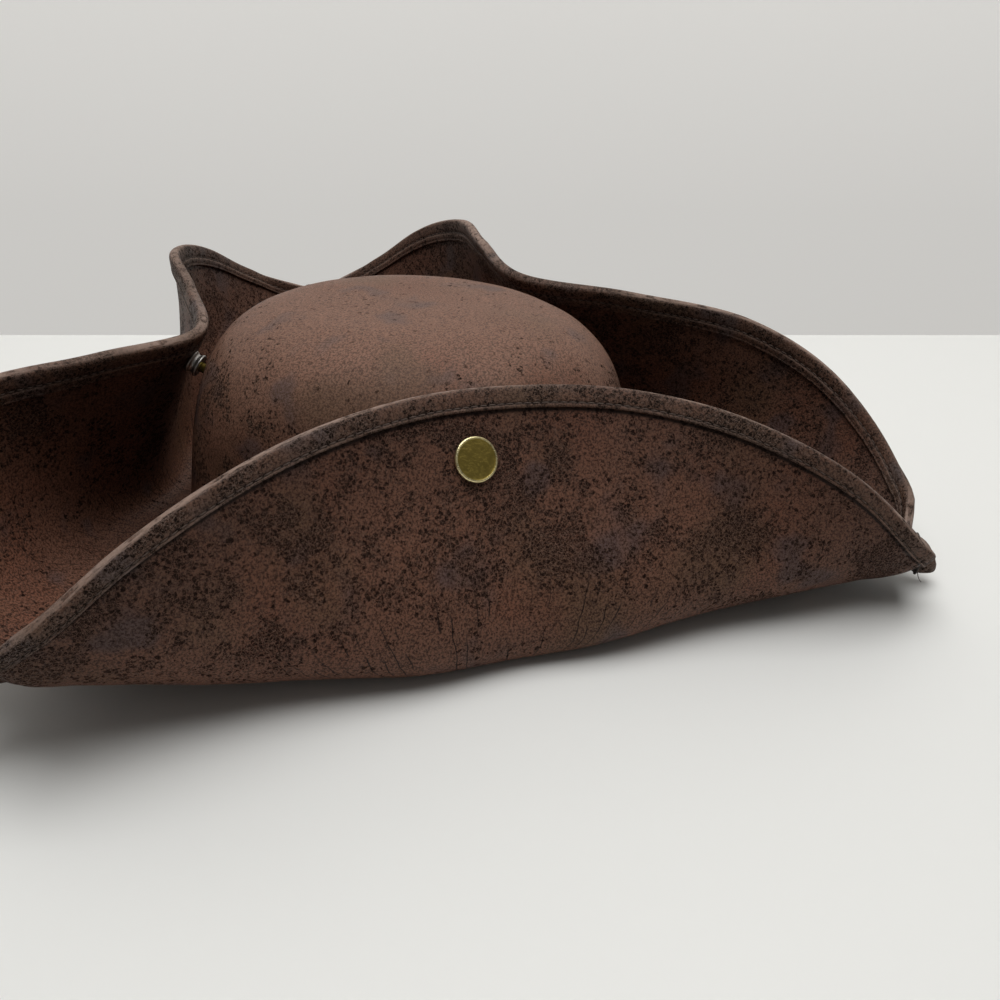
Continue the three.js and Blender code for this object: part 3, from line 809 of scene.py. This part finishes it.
def make_tip_wrap(k):
    """Twisted thread drawn tight round a folded corner, twice."""
    corner = FRAMES[k]
    parts = []
    for wrap, (back, lean) in enumerate(WRAPS):
        outline = even_path(tight_outline(tip_section(k, STITCH_BACK + back)), WRAP_STEP)
        centre = outline.mean(0)
        for _ in range(WRAP_EVENING_ROUNDS):
            outline = (2 * outline + np.roll(outline, 1, 0) + np.roll(outline, -1, 0)) / 4
        away = unit(outline - centre)
        outline = outline + WRAP_OFF_SKIN * away
        slant = lean * (outline[:, 0] - centre[0]) / np.abs(outline[:, 0] - centre[0]).max()
        path = np.outer(corner["reach"] - STITCH_BACK - back + slant, corner["axis"])
        path += np.outer(outline[:, 0], corner["side"]) + np.outer(outline[:, 1], UPWARD)
        outwards = np.outer(away[:, 0], corner["side"]) + np.outer(away[:, 1], UPWARD)
        turns = round(len(path) * WRAP_STEP / TWIST_PITCH)
        for strand in (0, np.pi):
            twist = 2 * np.pi * turns * np.arange(len(path)) / len(path) + strand + wrap
            offset = np.cos(twist)[:, None] * outwards + np.sin(twist)[:, None] * corner["axis"]
            parts.append(tube(path + STRAND_OFF_MIDDLE * offset, STRAND_RADIUS, STRAND_SIDES))
    if corner["name"] == "front":
        parts.append(loose_end(corner, tip_section(k, STITCH_BACK - END_FORWARD)))
    return joined("tip_thread_" + corner["name"], parts)


def loose_end(corner, section):
    """Short cut end of the thread that hangs under the front tip."""
    low = section[section[:, 1].argmin()]
    start = corner["axis"] * (corner["reach"] - STITCH_BACK + END_FORWARD)
    start = start + corner["side"] * (low[0] - END_ASIDE) + UPWARD * (low[1] + END_HIDDEN)
    t = np.linspace(0, 1, END_POINTS)[:, None]
    path = start + corner["axis"] * (END_AHEAD * t**1.4) - corner["side"] * (END_SWEEP * t)
    path = path - UPWARD * (END_DROP * t + 0.4 * np.sin(3.1 * t))
    path[:, 2] = np.maximum(path[:, 2], CLEARANCE)
    return tube(path, END_RADIUS, END_SIDES, closed=False)


# Materials

class Nodes:
    """A material's nodes, with short calls for the few kinds that are used."""

    def __init__(self, name):
        self.material = bpy.data.materials.new(name)
        self.material.use_nodes = True
        self.tree = self.material.node_tree
        self.tree.nodes.clear()
        self.shader = self.add("BsdfPrincipled", {})
        self.add("OutputMaterial", {"Surface": self.shader.outputs["BSDF"]})

    def add(self, kind, inputs, **settings):
        """New node with its settings, and with values or links on its inputs."""
        node = self.tree.nodes.new("ShaderNode" + kind)
        for setting, value in settings.items():
            setattr(node, setting, value)
        for socket, value in inputs.items():
            self.put(node.inputs[socket], value)
        return node

    def put(self, socket, value):
        """A node's output is linked, anything else is written on the socket."""
        if isinstance(value, bpy.types.NodeSocket):
            self.tree.links.new(value, socket)
        elif isinstance(value, tuple) and len(value) == 3 and len(socket.default_value) == 4:
            socket.default_value = (*value, 1)
        else:
            socket.default_value = value

    def set(self, socket, value):
        """Value or link on one of the shader's sockets."""
        self.put(self.shader.inputs[socket], value)

    def kept(self, name):
        """Vector kept at every point of the mesh."""
        return self.add("Attribute", {}, attribute_name=name).outputs["Vector"]

    def place(self):
        """Place on the object."""
        return self.add("TexCoord", {}).outputs["Object"]

    def part(self, vector, axis):
        """One number of a vector."""
        return self.add("SeparateXYZ", {0: vector}).outputs[axis]

    def scaled(self, vector, factors):
        """Vector stretched by a factor along each axis."""
        return self.add("Mapping", {"Vector": vector, "Scale": factors}).outputs[0]

    def shifted(self, vector, shift):
        """Vector moved, so that it meets another part of a pattern."""
        return self.add("Mapping", {"Vector": vector, "Location": shift}).outputs[0]

    def warped(self, vector, scale, amount):
        """Vector shifted a little by noise, so that patterns run crooked."""
        wander = self.add("TexNoise", {"Vector": vector, "Scale": scale, "Detail": 2.0}).outputs["Color"]
        centred = self.add("VectorMath", {0: wander, 1: (0.5, 0.5, 0.5)}, operation="SUBTRACT").outputs[0]
        grown = self.add("VectorMath", {0: centred, "Scale": amount}, operation="SCALE").outputs[0]
        return self.add("VectorMath", {0: vector, 1: grown}, operation="ADD").outputs[0]

    def noise(self, vector, scale, detail=2.0, roughness=0.5):
        """Soft noise, 0 to 1."""
        inputs = {"Vector": vector, "Scale": scale, "Detail": detail, "Roughness": roughness}
        return self.add("TexNoise", inputs).outputs["Fac"]

    def pits(self, vector, scale, chance):
        """Cells of a pattern, up to 1 inside and 0 at the walls, each deep, faint or absent by chance."""
        pattern = {"Vector": vector, "Scale": scale}
        wall_distance = self.add("TexVoronoi", pattern, feature="DISTANCE_TO_EDGE").outputs["Distance"]
        lot = self.part(self.add("TexVoronoi", pattern).outputs["Color"], 0)
        there = self.ramp(self.minus(chance, lot), -0.06, 0.12)
        return self.times(self.ramp(wall_distance, 0.02, 0.15), there)

    def math(self, kind, *values):
        """Arithmetic on numbers."""
        return self.add("Math", dict(enumerate(values)), operation=kind).outputs[0]

    def times(self, product, *factors):
        """Product of numbers."""
        for factor in factors:
            product = self.math("MULTIPLY", product, factor)
        return product

    def plus(self, first, second):
        """Sum of two numbers."""
        return self.math("ADD", first, second)

    def minus(self, first, second):
        """Difference of two numbers."""
        return self.math("SUBTRACT", first, second)

    def off_middle(self, value):
        """How far a number is from one half."""
        return self.math("ABSOLUTE", self.minus(value, 0.5))

    def ramp(self, value, low, high, to_low=0.0, to_high=1.0):
        """Smooth step of a number from one range to another."""
        numbers = (value, low, high, to_low, to_high)
        return self.add("MapRange", dict(enumerate(numbers)), interpolation_type="SMOOTHSTEP").outputs[0]

    def band(self, value, rise, fall):
        """1 between two smooth steps and 0 outside them."""
        return self.times(self.ramp(value, *rise), self.ramp(value, *fall))

    def mix(self, share, first, second):
        """Colour between two."""
        return self.add("Mix", {"Factor": share, 6: first, 7: second}, data_type="RGBA").outputs[2]

    def bump(self, height, distance):
        """Relief from a height, the distance in metres."""
        return self.add("Bump", {"Height": height, "Distance": distance, "Strength": 1.0}).outputs[0]


# Leather: how many of each form lie on a metre
REGIONS_PER_METRE = 15.0
PATCHES_PER_METRE = 58.0
CREASES_PER_METRE = 150.0
STRANDS_PER_METRE = 420.0
PITS_PER_METRE = 700.0
FIBRES_PER_METRE = 900.0
GRAINS_PER_METRE = 1250.0
GRAIN_RELIEF = 0.00022

# Clouds of other tints: size, place in the noise, its values at no tint and full tint, and strength
CLOUDS = [
    {"tone": "rust", "per_metre": 21.0, "shift": (3.1, 0.4, 1.7), "none": 0.5, "full": 0.68, "share": 0.65},
    {"tone": "olive", "per_metre": 18.0, "shift": (1.1, 6.4, 2.9), "none": 0.52, "full": 0.68, "share": 0.6},
    {"tone": "blue", "per_metre": 46.0, "shift": (4.2, 9.3, 0.6), "none": 0.56, "full": 0.7, "share": 0.7},
]

# Bands on the brim, metres back from its edge: from none to full on the near side, then on the far side
TAUT_FOLD = ((0.058, 0.078), (0.125, 0.112))
CREASED_FOLD = ((0.06, 0.078), (0.122, 0.108))
# Painted shadow line on the brim just past the end of the binding's outer leg
BINDING_EDGE_PAINTED_SHADOW = ((0.0078, 0.0083), (0.0099, 0.0088))
# Rubbed ridge of the binding, partly a painted highlight
RUBBED_AND_HIGHLIT_RIDGE = ((0.0068, 0.0072), (0.0079, 0.0075))
# Painted shade in the stitched groove of the binding
STITCHED_GROOVE_PAINTED_SHADE = ((0.0059, 0.0064), (0.0071, 0.0066))

# Fading with the distance back from the edge: where it begins and ends, and its strength there
# Rubbed crest of the binding, partly a painted highlight
RUBBED_AND_HIGHLIT_CREST = (0.0002, 0.0012, 1.0, 0.0)
# Painted shade over the upper part of the flap, strongest next to the binding
UPPER_FLAP_PAINTED_SHADE = (0.012, 0.055, 0.3, 0.0)

# Height over the table, metres, where the crown begins to be worn and painted with a sheen, and where both
# are most
WORN_AND_SHEEN_HEIGHTS = (0.05, 0.084)


def crack_lines(n, back):
    """Thin cracks across the fold, where the leather was bent hardest."""
    spot = n.kept("crease")
    wander = n.times(n.noise(n.scaled(spot, (1, 1, 0)), 60.0), 1.3)
    step = n.plus(n.times(n.part(spot, 0), CREASES_PER_METRE), wander)
    line = n.ramp(n.off_middle(n.math("FRACT", step)), 0.025, 0.062, 1.0, 0.0)
    which = n.add("CombineXYZ", {0: n.times(n.math("FLOOR", step), 7.3), 1: n.times(n.part(spot, 1), 52.0)})
    here = n.ramp(n.noise(which.outputs[0], 1.0, 1.0), 0.5, 0.57)
    return n.times(n.band(back, *CREASED_FOLD), here, line, n.part(spot, 2))


def rubbed_and_highlit_edge(n, place, back):
    """How much the crest and the ridge of the binding are rubbed, partly a painted highlight."""
    where = n.ramp(n.noise(n.shifted(place, (0.3, 0.9, 0.4)), 14.0), 0.36, 0.56)
    streaks = n.noise(n.scaled(n.kept("lay"), (260.0, 260.0, 2600.0)), 1.0)
    bare_and_highlit = n.math("MAXIMUM", n.ramp(back, *RUBBED_AND_HIGHLIT_CREST), n.times(n.band(back, *RUBBED_AND_HIGHLIT_RIDGE), 0.4))
    return n.times(bare_and_highlit, n.ramp(streaks, 0.34, 0.56), n.plus(n.times(where, 0.6), 0.12))


def leather(name, tones, creased=False, worn_and_sheen_top=False, rubbed_and_highlight_tone=None):
    """Distressed faux leather: dark pits crowded in patches, clouds of other tints, creases, rubbed edges
    partly painted as highlights, painted shade near the binding and a painted sheen on the crown's top.
    """
    n = Nodes(name)
    place = n.place()
    if creased or rubbed_and_highlight_tone:
        back = n.part(n.kept("lay"), 2)
    patches = n.ramp(n.noise(place, PATCHES_PER_METRE, 3.0, 0.62), 0.36, 0.64)
    regions = n.ramp(n.noise(n.shifted(place, (7.7, 2.2, 5.1)), REGIONS_PER_METRE), 0.36, 0.58)
    crowd = n.times(patches, n.plus(n.times(regions, 0.6), 0.4))
    if creased:
        # The fold itself is stretched smooth, with few pits
        taut = n.band(back, *TAUT_FOLD)
        crowd = n.times(crowd, n.minus(1.0, n.times(taut, 0.8)))
    if worn_and_sheen_top:
        # The top of the crown is rubbed smooth, with fewer pits, and painted paler as a painted sheen
        worn = n.ramp(n.plus(n.part(place, 2), n.times(patches, -0.012)), *WORN_AND_SHEEN_HEIGHTS)
        crowd = n.times(crowd, n.minus(1.0, n.times(worn, 0.9)))
    # Pits are dark cells. Where they crowd, only a web of lighter walls is left between them
    pits = n.pits(n.warped(place, 800.0, 0.0018), PITS_PER_METRE, n.times(crowd, 1.2))
    grain = n.noise(place, GRAINS_PER_METRE, 3.0, 0.75)
    fibre = n.off_middle(n.noise(n.warped(place, 700.0, 0.0012), FIBRES_PER_METRE, 2.0, 0.6))
    strand = n.off_middle(n.noise(n.warped(place, 900.0, 0.0014), STRANDS_PER_METRE, 3.0, 0.6))
    web = n.times(n.ramp(fibre, 0.0, 0.03, 1.0, 0.0), n.ramp(grain, 0.36, 0.54))
    web = n.math("MAXIMUM", web, n.ramp(strand, 0.0, 0.018, 1.0, 0.0))
    tint = tones["light"]
    for cloud in CLOUDS:
        haze = n.noise(n.shifted(place, cloud["shift"]), cloud["per_metre"])
        share = n.times(n.ramp(haze, cloud["none"], cloud["full"]), cloud["share"])
        tint = n.mix(share, tint, tones[cloud["tone"]])
    # Fine grain all over: dark specks between lighter fibres
    coloured = n.mix(n.ramp(grain, 0.38, 0.6), tones["base"], tint)
    coloured = n.mix(n.times(crowd, 0.42), coloured, tones["base"])
    if worn_and_sheen_top:
        # Painted sheen: the top of the crown painted paler
        coloured = n.mix(n.times(worn, 0.12), coloured, tones["fibre"])
    coloured = n.mix(n.times(pits, 0.93), coloured, tones["dark"])
    coloured = n.mix(n.times(web, n.plus(n.times(crowd, 0.5), 0.27)), coloured, tones["fibre"])
    height = grain
    rough = n.plus(0.5, n.times(pits, 0.25))
    if creased:
        crack = crack_lines(n, back)
        coloured = n.mix(n.times(crack, 0.92), coloured, tones["dark"])
        height = n.minus(height, n.times(crack, 1.2))
        rough = n.minus(rough, n.times(taut, 0.06))
        # Painted shade thinly over the upper part of the flap, and a painted shadow line along the edge of
        # the sewn-on binding
        coloured = n.mix(n.ramp(back, *UPPER_FLAP_PAINTED_SHADE), coloured, tones["dark"])
        coloured = n.mix(n.times(n.band(back, *BINDING_EDGE_PAINTED_SHADOW), 0.85), coloured, tones["dark"])
    if rubbed_and_highlight_tone:
        # Rubbed crest and ridge, partly a painted highlight, and painted shade in the stitched groove
        coloured = n.mix(rubbed_and_highlit_edge(n, place, back), coloured, rubbed_and_highlight_tone)
        coloured = n.mix(n.times(n.band(back, *STITCHED_GROOVE_PAINTED_SHADE), 0.85), coloured, tones["dark"])
    n.set("Base Color", coloured)
    n.set("Roughness", rough)
    n.set("Specular IOR Level", n.minus(0.14, n.times(pits, 0.1)))
    n.set("Normal", n.bump(height, GRAIN_RELIEF))
    return n.material


def backing():
    """Brushed dark backing inside the crown."""
    n = Nodes("backing_cloth")
    place = n.place()
    nap = n.noise(place, 1800.0, 4.0, 0.7)
    cloud = n.ramp(n.noise(place, 30.0), 0.45, 0.65)
    tone = n.mix(n.ramp(nap, 0.3, 0.7), (0.028, 0.022, 0.02), (0.06, 0.05, 0.045))
    n.set("Base Color", n.mix(n.times(cloud, 0.4), tone, (0.04, 0.036, 0.036)))
    n.set("Roughness", 0.95)
    n.set("Specular IOR Level", 0.15)
    n.set("Normal", n.bump(nap, 0.00025))
    return n.material


def metal(name, tone, worn, roughness):
    """Stamped metal with tarnish and small scratches."""
    n = Nodes(name)
    place = n.place()
    tarnish = n.ramp(n.noise(place, 260.0, 4.0, 0.65), 0.4, 0.7)
    streaks = n.noise(n.scaled(n.warped(place, 300.0, 0.002), (1400.0, 240.0, 1900.0)), 1.0)
    scratch = n.ramp(streaks, 0.5, 0.62)
    n.set("Base Color", n.mix(n.times(tarnish, 0.55), tone, worn))
    n.set("Metallic", 1.0)
    n.set("Roughness", n.plus(n.plus(roughness, n.times(tarnish, 0.12)), n.times(scratch, 0.08)))
    n.set("Normal", n.bump(n.plus(n.noise(place, 3000.0), scratch), 0.00002))
    return n.material


def thread(name, tone, light):
    """Waxed thread with fine fibres."""
    n = Nodes(name)
    fibre = n.noise(n.place(), 3800.0, 3.0, 0.6)
    n.set("Base Color", n.mix(n.ramp(fibre, 0.35, 0.7), tone, light))
    n.set("Roughness", 0.7)
    n.set("Normal", n.bump(fibre, 0.00008))
    return n.material


def plain(name, colour, roughness, glow=0.0):
    """Plain surface with a faint unevenness, for the stage."""
    n = Nodes(name)
    darker = tuple(c * 0.97 for c in colour)
    n.set("Base Color", n.mix(n.noise(n.place(), 6.0), colour, darker))
    n.set("Roughness", roughness)
    n.set("Emission Color", colour)
    n.set("Emission Strength", glow)
    return n.material


BROWN = {
    "base": (0.034, 0.0145, 0.009),
    "light": (0.192, 0.088, 0.056),
    "fibre": (0.235, 0.14, 0.104),
    "dark": (0.008, 0.004, 0.003),
    "rust": (0.19, 0.074, 0.044),
    "olive": (0.13, 0.078, 0.044),
    "blue": (0.082, 0.064, 0.07),
}
BAND_BROWN = {
    "base": (0.032, 0.017, 0.0115),
    "light": (0.13, 0.069, 0.047),
    "fibre": (0.23, 0.155, 0.125),
    "dark": (0.009, 0.006, 0.0045),
    "rust": (0.15, 0.075, 0.05),
    "olive": (0.12, 0.08, 0.05),
    "blue": (0.08, 0.068, 0.072),
}
# Painted light: the brim's leather tones made lighter for the crown, standing for more light falling on it
CROWN_BROWN_PAINTED_LIGHTER = {
    **BROWN,
    "base": (0.058, 0.026, 0.016),
    "light": (0.222, 0.108, 0.071),
    "fibre": (0.26, 0.165, 0.12),
}
# Tone of the rubbed crest and ridge, partly a painted highlight
RUBBED_AND_HIGHLIGHT_TONE = (0.32, 0.225, 0.18)
LEATHER = leather("faux_leather_brim", BROWN, creased=True)
CROWN_LEATHER = leather("faux_leather_crown", CROWN_BROWN_PAINTED_LIGHTER, worn_and_sheen_top=True)
BINDING = leather("faux_leather_binding", BAND_BROWN, rubbed_and_highlight_tone=RUBBED_AND_HIGHLIGHT_TONE)
BACKING = backing()
BRASS = metal("brass_antique", (0.36, 0.27, 0.066), (0.27, 0.2, 0.05), 0.34)
BRASS_RIM = metal("brass_rubbed", (0.85, 0.74, 0.42), (0.6, 0.5, 0.22), 0.26)
NICKEL = metal("nickel_bright", (0.5, 0.48, 0.45), (0.3, 0.28, 0.26), 0.34)
THREAD = thread("thread_dark", (0.02, 0.014, 0.012), (0.06, 0.045, 0.038))
SEAM_THREAD = thread("thread_brown", (0.06, 0.036, 0.026), (0.13, 0.086, 0.066))


# Pieces of the hat

def dress(piece, material, slot_name, *nodes):
    """Gives a piece its material and its body, and hides the imported nodes that it stands for; the slot name
    is not used.
    """
    if material is not None:
        piece.data.materials.append(material)
    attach(piece, "root")
    if nodes:
        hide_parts(*nodes)


dress(make_crown(), None, "faux_leather", "crown")
dress(make_brim(), LEATHER, "faux_leather", "brim")
dress(make_binding(), BINDING, "binding", "edge_binding")
dress(make_binding_stitches(), SEAM_THREAD, "thread")
for flap, pin in zip(FLAPS, PINS):
    dress(make_rivet(flap, pin), None, "brass", "rivet_" + flap["name"])
    dress(make_snap(flap, pin), NICKEL, "nickel", "snap_" + flap["name"])
for k, corner in enumerate(CORNERS):
    dress(make_tip_wrap(k), THREAD, "thread", "tip_stitch_" + corner["name"])


# Stage: a pale table top that ends behind the hat, and a pale wall

TABLE_END_AWAY = 0.6135
TABLE_END_TURN = math.radians(14.4)
WALL_BEHIND = 0.35
WALL_BELOW_TABLE = 1.0
WALL_HEIGHT = 3.0
STAGE_REACH = 4.0


def stage_sheet(name, corners, material):
    """Flat four-cornered sheet of the stage, metres."""
    piece = new_object(name, corners, [(0, 1, 2, 3)])
    piece.data.materials.append(material)


def make_stage():
    """Table top up to its far end, and a wall a little farther away."""
    away = Vector((math.cos(TABLE_END_TURN), math.sin(TABLE_END_TURN), 0))
    beside = Vector((-away.y, away.x, 0)) * STAGE_REACH
    end = Vector((CAMERA_PLACE.x, CAMERA_PLACE.y, 0)) + LEVEL_LOOK * TABLE_END_AWAY
    near = end - away * STAGE_REACH
    stage_sheet("table_top", [near - beside, end - beside, end + beside, near + beside],
                plain("pale_table", (0.8, 0.8, 0.775), 0.5))
    low = end + away * WALL_BEHIND - Vector((0, 0, WALL_BELOW_TABLE))
    high = low + Vector((0, 0, WALL_HEIGHT))
    stage_sheet("pale_wall", [low - beside, low + beside, high + beside, high - beside],
                plain("pale_wall", (0.62, 0.61, 0.588), 0.9, 0.66))


# Light: one broad soft light above, a pale room round it

light_data = bpy.data.lights.new("soft_top", "AREA")
light_data.shape = "SQUARE"
light_data.size = 1.5
light_data.energy = 26.3
light = bpy.data.objects.new("soft_top", light_data)
light.location = (0.1, 0.0, 1.6)
light.rotation_euler = (-light.location).to_track_quat("-Z", "Y").to_euler()
SCENE.collection.objects.link(light)

world = bpy.data.worlds.new("pale_room")
world.use_nodes = True
background = world.node_tree.nodes["Background"]
background.inputs["Color"].default_value = (1.0, 0.985, 0.96, 1)
background.inputs["Strength"].default_value = 0.13
SCENE.world = world
SCENE.view_settings.view_transform = "Standard"


# Camera: matched to the photograph's outlines, metres and degrees

CAMERA_PLACE = Vector((-0.36423, -0.06286, 0.2213))
LEVEL_LOOK = Vector((0.98494, 0.17287, 0)).normalized()
PITCH_DOWN = math.radians(29.205)
ROLL = math.radians(1.535)
SENSOR = 36
LENS = 36

look = LEVEL_LOOK * math.cos(PITCH_DOWN) - Vector((0, 0, math.sin(PITCH_DOWN)))
right = LEVEL_LOOK.cross(Vector((0, 0, 1))).normalized()
up = right.cross(look)
rolled_right = right * math.cos(ROLL) + up * math.sin(ROLL)
rolled_up = up * math.cos(ROLL) - right * math.sin(ROLL)
make_stage()
camera_data = bpy.data.cameras.new("camera")
camera_data.lens = LENS
camera_data.sensor_width = SENSOR
camera_data.clip_start = 0.01
camera = bpy.data.objects.new("camera", camera_data)
camera.matrix_world = Matrix.Translation(CAMERA_PLACE) @ Matrix(
    (rolled_right, rolled_up, -look)).transposed().to_4x4()
SCENE.collection.objects.link(camera)
SCENE.camera = camera
